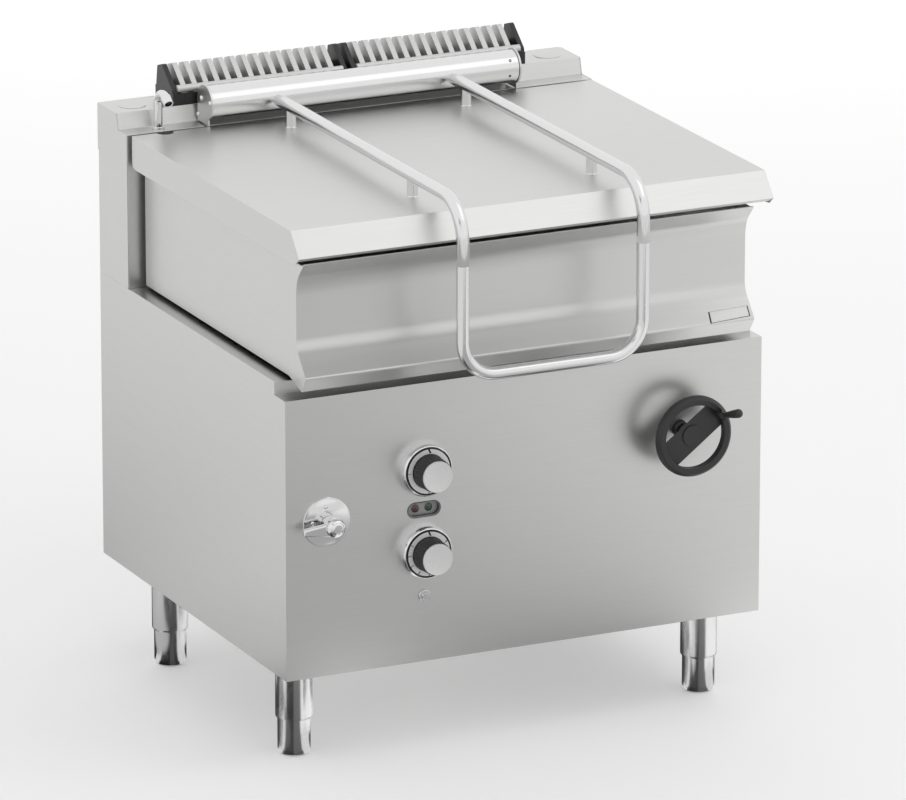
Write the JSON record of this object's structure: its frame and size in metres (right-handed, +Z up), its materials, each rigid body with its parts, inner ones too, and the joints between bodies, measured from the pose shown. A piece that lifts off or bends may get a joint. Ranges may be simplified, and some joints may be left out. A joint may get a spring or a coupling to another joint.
{
  "type": "tilting bratt pan",
  "caption": "Free-standing stainless bratt pan on feet: hinged lid with U-handle, pan tilted over its front edge by a hand wheel and screw, water spout and flue grille at the back.",
  "frame": {"origin": "on the floor, under the middle of the bounding box of the object at rest", "axes": "+X to the right seen from the front, +Y to the back, +Z up; the controls face -Y"},
  "size_m": [0.8, 0.8058, 0.9399],
  "materials": {
    "satin_steel": "satin brushed stainless steel",
    "polished_steel": "polished stainless steel or chrome plate",
    "grille_steel": "blasted stainless steel castings",
    "black_enamel": "black enamel",
    "black_plastic": "moulded black thermoset",
    "ivory_plastic": "moulded electrical plastic",
    "grey_plastic": "moulded grey plastic",
    "red_lens": "clear red lens",
    "green_lens": "clear green lens",
    "brass": "machined",
    "tool_steel": "machined and oiled",
    "cast_housing": "painted casting",
    "insulated_tray": "mill finish",
    "element_sheath": "oxidised sheath"
  },
  "bodies": {
    "cabinet": {"base_tray": "satin_steel", "side_panel_left": "satin_steel", "side_panel_right": "satin_steel", "front_panel": "satin_steel", "deck": "satin_steel", "back_panel": "satin_steel", "column_front": "satin_steel", "column_side_left": "satin_steel", "column_side_right": "satin_steel", "column_back": "satin_steel", "column_plugs": "satin_steel", "flue_grille_left": "grille_steel", "flue_grille_right": "grille_steel", "flue_frame": "black_enamel", "spout": "polished_steel", "water_pipe": "polished_steel", "water_inlet": "brass", "tap_plate": "polished_steel", "tap_valve": "brass", "bezel_upper": "polished_steel", "bezel_lower": "polished_steel", "selector_switch": "ivory_plastic", "thermostat": "ivory_plastic", "pilot_bezel": "grey_plastic", "pilot_lens_red": "red_lens", "pilot_lens_green": "green_lens", "reset_ring": "polished_steel", "terminal_block": "ivory_plastic", "cable_gland": "black_plastic", "wheel_collar": "black_plastic", "gearbox": "cast_housing", "pivot_brackets": "tool_steel", "pivot_pins": "polished_steel", "foot_sleeves": "polished_steel"},
    "pan": {"pan_vessel": "satin_steel", "pan_casing": "satin_steel", "pan_front": "satin_steel", "heating_elements": "element_sheath", "heater_tray": "insulated_tray", "lift_arm": "tool_steel", "hinge_brackets": "satin_steel", "hinge_shaft": "tool_steel", "lid_springs": "tool_steel"},
    "lid": {"lid_shell": "satin_steel", "lid_posts": "polished_steel", "handle": "polished_steel", "hinge_cover": "satin_steel"},
    "upper_knob": {"knob_upper": "black_plastic"},
    "lower_knob": {"knob_lower": "black_plastic"},
    "tap_handle": {"tap_lever": "polished_steel"},
    "reset_plunger": {"reset_button": "polished_steel"},
    "wheel": {"hand_wheel": "black_plastic", "wheel_shaft": "tool_steel"},
    "grip": {"crank_grip": "black_plastic"},
    "nut": {"lift_nut": "brass"},
    "screw": {"lift_screw": "tool_steel"},
    "foot_fl": {"foot_front_left": "polished_steel"},
    "foot_fr": {"foot_front_right": "polished_steel"},
    "foot_rl": {"foot_rear_left": "polished_steel"},
    "foot_rr": {"foot_rear_right": "polished_steel"}
  },
  "joints": [
    {"name": "pan_tilt", "type": "hinge", "parent": "cabinet", "child": "pan", "pos_m": [0, -0.2981, 0.634], "axis": [1, 0, 0], "range_deg": [0, 72]},
    {"name": "lid_open", "type": "hinge", "parent": "pan", "child": "lid", "pos_m": [0, 0.2909, 0.893], "axis": [-1, 0, 0], "range_deg": [0, 75]},
    {"name": "wheel_turn", "type": "hinge", "parent": "cabinet", "child": "wheel", "pos_m": [0.259, -0.3021, 0.464], "axis": [0, 1, 0], "range_deg": [0, 5190]},
    {"name": "nut_turn", "type": "hinge", "parent": "cabinet", "child": "nut", "pos_m": [0.259, -0.12082, 0.464], "axis": [0, 0, 1], "range_deg": [-5190, 0]},
    {"name": "screw_rise", "type": "slide", "parent": "cabinet", "child": "screw", "axis": [0, 0, 1], "range_m": [0, 0.2314]},
    {"name": "grip_fold", "type": "hinge", "parent": "wheel", "child": "grip", "pos_m": [0.30053, -0.3651, 0.49529], "axis": [0.6018, 0, -0.7986], "range_deg": [0, 115]},
    {"name": "upper_knob_turn", "type": "hinge", "parent": "cabinet", "child": "upper_knob", "pos_m": [-0.171, -0.3021, 0.4567], "axis": [0, 1, 0], "range_deg": [0, 270]},
    {"name": "lower_knob_turn", "type": "hinge", "parent": "cabinet", "child": "lower_knob", "pos_m": [-0.171, -0.3021, 0.3264], "axis": [0, 1, 0], "range_deg": [0, 270]},
    {"name": "tap_turn", "type": "hinge", "parent": "cabinet", "child": "tap_handle", "pos_m": [-0.3327, -0.3021, 0.394], "axis": [0, 1, 0], "range_deg": [0, 90]},
    {"name": "reset_press", "type": "slide", "parent": "cabinet", "child": "reset_plunger", "axis": [0, 1, 0], "range_m": [0, 0.003], "stiffness_N_per_m": 300},
    {"name": "foot_fl_screw", "type": "slide", "parent": "cabinet", "child": "foot_fl", "axis": [0, 0, 1], "range_m": [-0.02, 0.02]},
    {"name": "foot_fr_screw", "type": "slide", "parent": "cabinet", "child": "foot_fr", "axis": [0, 0, 1], "range_m": [-0.02, 0.02]},
    {"name": "foot_rl_screw", "type": "slide", "parent": "cabinet", "child": "foot_rl", "axis": [0, 0, 1], "range_m": [-0.02, 0.02]},
    {"name": "foot_rr_screw", "type": "slide", "parent": "cabinet", "child": "foot_rr", "axis": [0, 0, 1], "range_m": [-0.02, 0.02]}
  ],
  "couplings": [
    {"joint": "wheel_turn", "follows": "pan_tilt", "ratio": 72.004},
    {"joint": "nut_turn", "follows": "pan_tilt", "ratio": -72.004},
    {"joint": "screw_rise", "follows": "pan_tilt", "m_per_rad": 0.18336}
  ]
}
